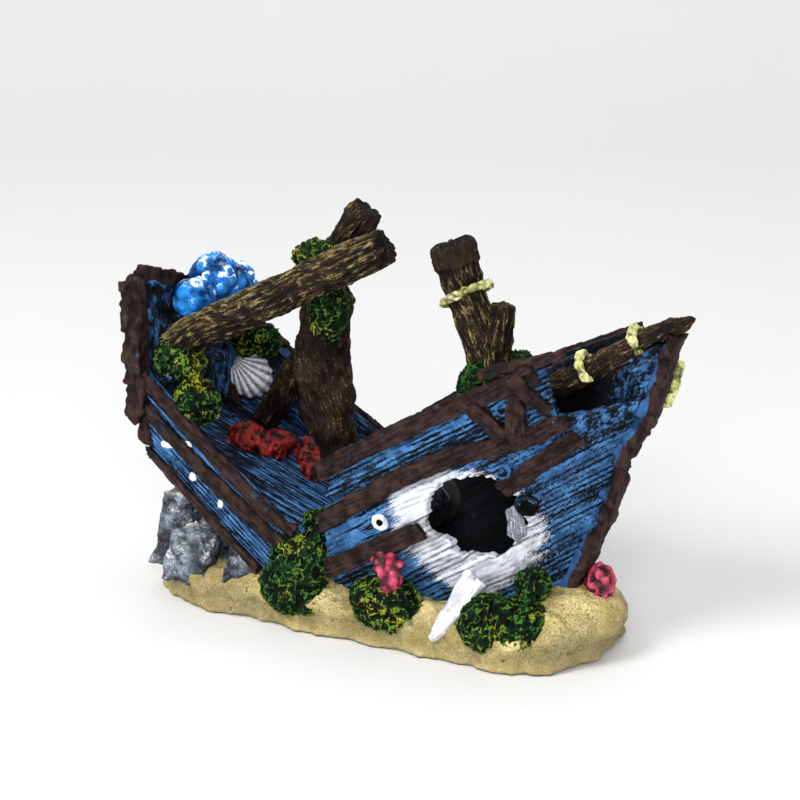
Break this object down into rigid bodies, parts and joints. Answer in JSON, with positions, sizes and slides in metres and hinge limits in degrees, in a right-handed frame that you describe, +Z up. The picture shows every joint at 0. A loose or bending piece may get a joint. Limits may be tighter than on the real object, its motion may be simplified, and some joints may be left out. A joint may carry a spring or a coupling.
{
  "type": "sunken ship aquarium ornament",
  "caption": "Broken wooden ship on a sand bank, painted resin, hollow bow with a side hole and a removable air stone that bubbles out through it.",
  "frame": {"origin": "middle of the flat underside of the sand bank", "axes": "+X towards the bow, +Y to port (the side away from the hole), +Z up"},
  "size_m": [0.1209, 0.0556, 0.0876],
  "materials": {
    "sand": "matte",
    "hull_blue": "matte",
    "deck_brown": "matte",
    "timber": "matte",
    "log": "matte",
    "white_wood": "matte",
    "rope": "matte",
    "shell": "matte",
    "rock": "matte",
    "moss": "matte",
    "coral_blue": "satin",
    "coral_magenta": "satin",
    "coral_red": "satin",
    "grommet": "matte",
    "clear_tube": "gloss",
    "air_stone": "matte"
  },
  "bodies": {
    "wreck": {"sand_base": "sand", "bow_hull": "hull_blue", "foredeck": "deck_brown", "stem_post": "timber", "bow_gunwale_starboard": "timber", "bow_gunwale_port": "timber", "mid_strake_starboard": "timber", "mid_strake_port": "timber", "lower_strake_aft": "timber", "lower_strake_fore": "timber", "lower_strake_port": "timber", "brace_upper": "timber", "brace_lower": "timber", "brace_upright": "timber", "cap_plank": "timber", "hanging_plank": "white_wood", "inner_splinter": "white_wood", "port_ring_pale": "white_wood", "port_ring_dark": "hull_blue", "foremast": "log", "foremast_branch": "log", "foremast_rope": "rope", "bowsprit": "log", "bowsprit_rope_aft": "rope", "bowsprit_rope_fore": "rope", "stem_rope": "rope", "stern_hull": "hull_blue", "stern_deck": "hull_blue", "stern_gunwale_starboard": "timber", "stern_gunwale_port": "timber", "stern_mid_rail_starboard": "timber", "stern_mid_rail_port": "timber", "stern_low_rail_starboard": "timber", "transom": "hull_blue", "quarter_post": "timber", "poop_deck": "deck_brown", "mainmast": "log", "fallen_yard": "log", "mast_top": "log", "mast_strut": "log", "scallop_shell": "shell", "rock_core": "rock", "rock_tail": "rock", "rock_mid": "rock", "rock_front": "rock", "moss_break": "moss", "moss_front": "moss", "moss_bow": "moss", "moss_aft": "moss", "moss_bulwark": "moss", "moss_mast": "moss", "moss_foremast": "moss", "coral_blue": "coral_blue", "coral_front": "coral_magenta", "coral_bow": "coral_magenta", "coral_red": "coral_red", "coral_red_small": "coral_red"},
    "air_set": {"air_grommet": "grommet", "air_tube": "clear_tube", "air_stone": "air_stone"}
  },
  "joints": [
    {"name": "air_set_slide", "type": "slide", "parent": "wreck", "child": "air_set", "axis": [0, 1, 0], "range_m": [0, 0.03]}
  ]
}
